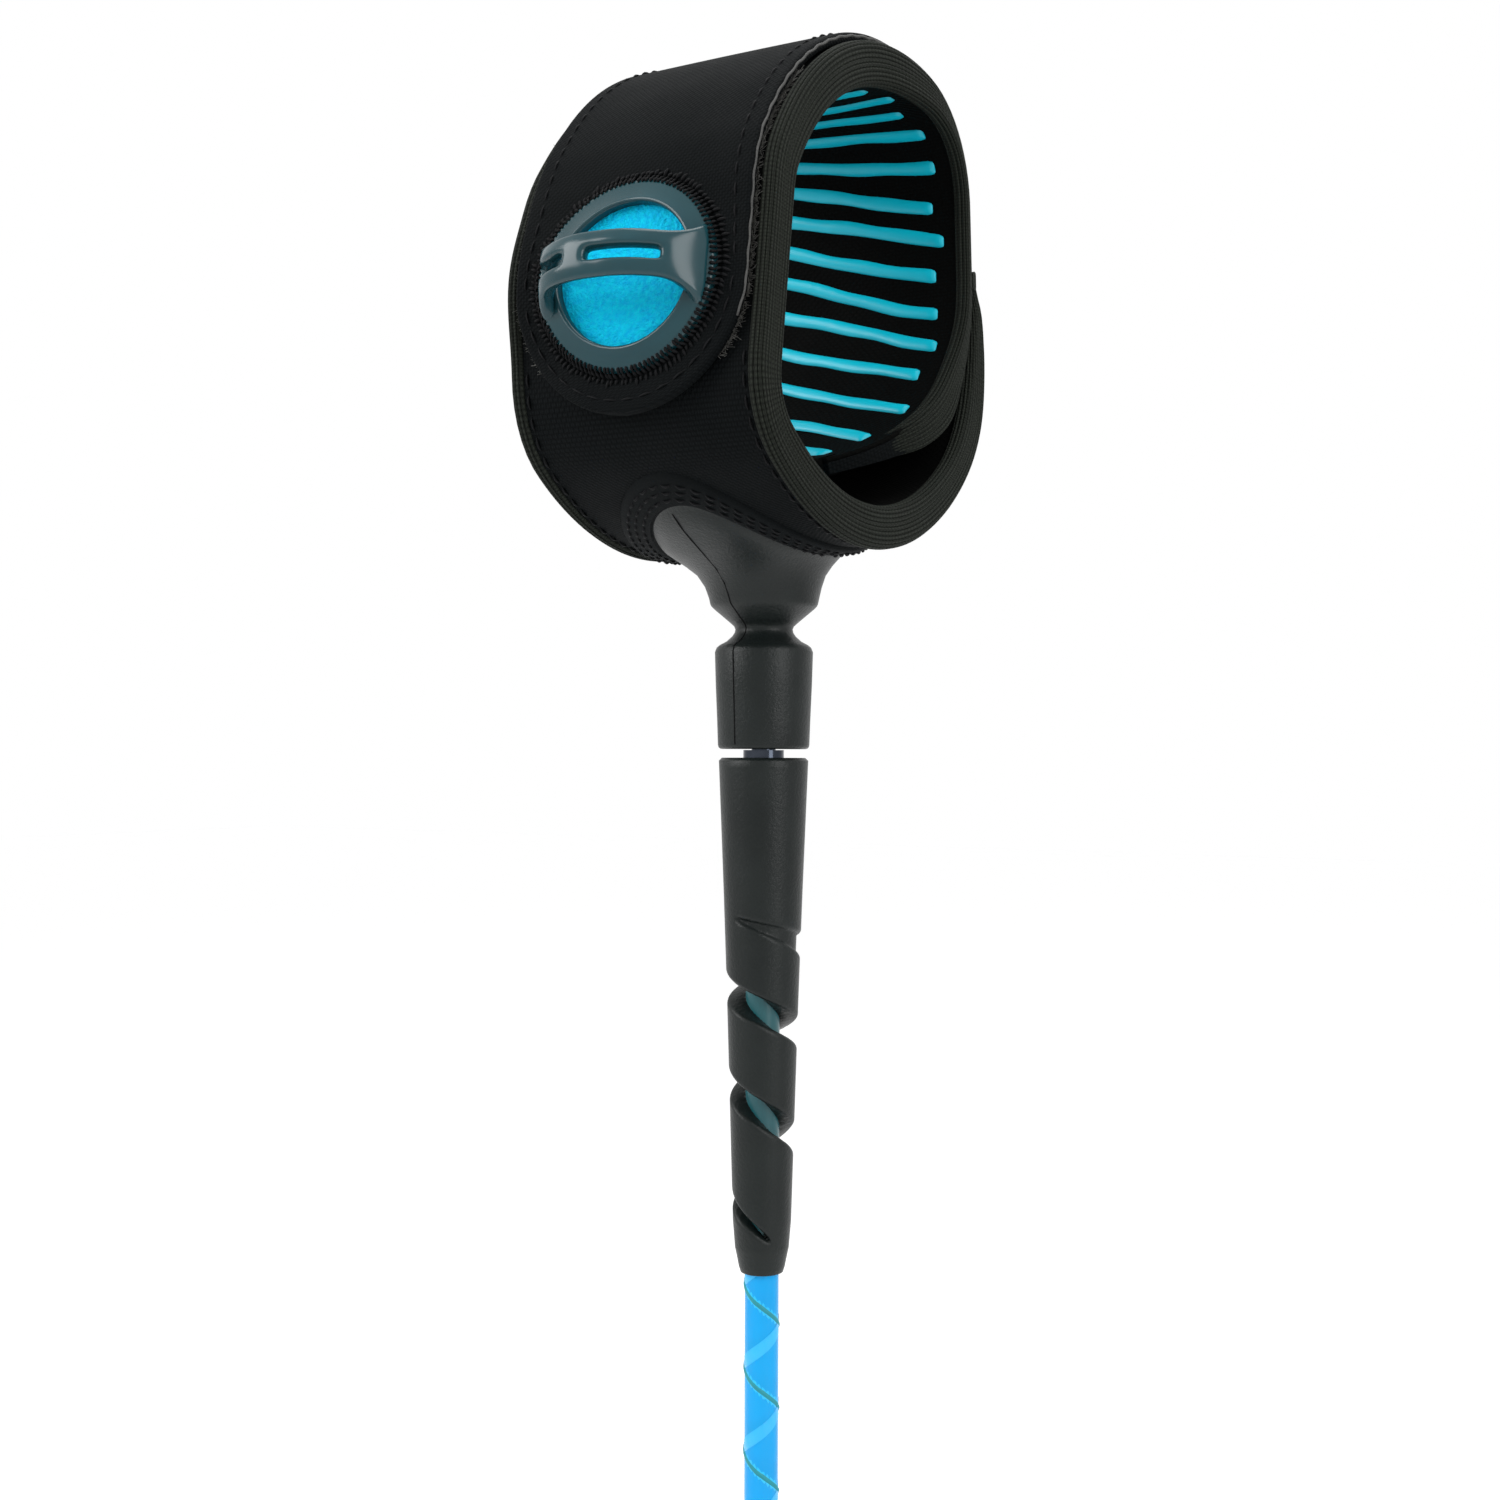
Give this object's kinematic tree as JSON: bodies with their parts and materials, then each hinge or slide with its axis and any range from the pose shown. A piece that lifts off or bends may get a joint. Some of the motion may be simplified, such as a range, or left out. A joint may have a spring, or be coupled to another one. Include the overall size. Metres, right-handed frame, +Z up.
{
  "type": "surf and bodyboard leash",
  "caption": "Leg leash for a surfboard or bodyboard: padded hook-and-loop ankle cuff, swivels, spiral strain reliefs, blue urethane cord tied in a hank, and a rail saver.",
  "frame": {"origin": "on the swivel's axis, at the height of the middle of the ankle opening", "axes": "+X along the leg through the cuff, -Y towards the strap tab, +Z up along the swivel and cord"},
  "size_m": [0.0645, 0.1148, 0.5949],
  "materials": {
    "neoprene": "matt knit-faced neoprene",
    "foam": "closed-cell foam core",
    "lining": "black jersey",
    "grip": "glossy turquoise silicone",
    "binding": "ribbed dark olive tape",
    "webbing": "black woven nylon",
    "loop_fabric": "brushed loop",
    "hook_fabric": "hook",
    "moulding": "satin moulded urethane",
    "steel": "polished stainless",
    "acetal": "white acetal",
    "crimp_metal": "plain",
    "blue_fabric": "textured blue film",
    "ring_plastic": "translucent smoky teal",
    "cord": "translucent sky-blue urethane"
  },
  "bodies": {
    "cuff": {"cuff_skin": "neoprene", "cuff_padding": "foam", "cuff_lining": "lining", "grip_lines": "grip", "binding_near": "binding", "binding_far": "binding", "binding_inner_end": "binding", "binding_outer_end": "binding", "load_webbing": "webbing", "loop_panel": "loop_fabric", "horn": "moulding", "swivel_cup": "steel", "strap_anchor": "neoprene"},
    "strap": {"closure_strap": "neoprene"},
    "tab": {"strap_tab": "neoprene", "hook_patch": "hook_fabric", "tab_disc": "blue_fabric", "pull_ring": "ring_plastic"},
    "leash": {"swivel_pin": "steel", "thrust_washer": "acetal", "cord_crimp": "crimp_metal", "cord_relief": "moulding", "relief_coil": "moulding", "relief_mouth": "moulding", "cord_run": "cord", "cord_hank": "cord", "hank_tie": "webbing", "cord_tail": "cord", "board_relief": "moulding", "board_coil": "moulding", "board_mouth_ring": "moulding", "board_crimp": "crimp_metal", "board_pin": "steel", "board_washer": "acetal"},
    "board_end": {"board_barrel": "moulding", "board_cup": "steel", "rail_saver": "webbing", "saver_loop_patch": "loop_fabric"},
    "saver_flap_body": {"saver_flap": "webbing", "saver_hook_patch": "hook_fabric"}
  },
  "joints": [
    {"name": "strap_lift", "type": "hinge", "parent": "cuff", "child": "strap", "pos_m": [0, 0.0496, 0.01358], "axis": [-1, 0, 0], "range_deg": [0, 100]},
    {"name": "tab_peel", "type": "hinge", "parent": "strap", "child": "tab", "pos_m": [0, -0.04578, 0.01479], "axis": [-1, 0, 0], "range_deg": [0, 100]},
    {"name": "ankle_swivel", "type": "hinge", "parent": "cuff", "child": "leash", "pos_m": [0, 0, -0.0912], "axis": [0, 0, 1], "continuous": true},
    {"name": "board_swivel", "type": "hinge", "parent": "leash", "child": "board_end", "pos_m": [-0.014, 0.0423, -0.4323], "axis": [0, 0, 1], "continuous": true},
    {"name": "flap_open", "type": "hinge", "parent": "board_end", "child": "saver_flap_body", "pos_m": [-0.014, 0.03665, -0.537], "axis": [1, 0, 0], "range_deg": [0, 110]}
  ]
}
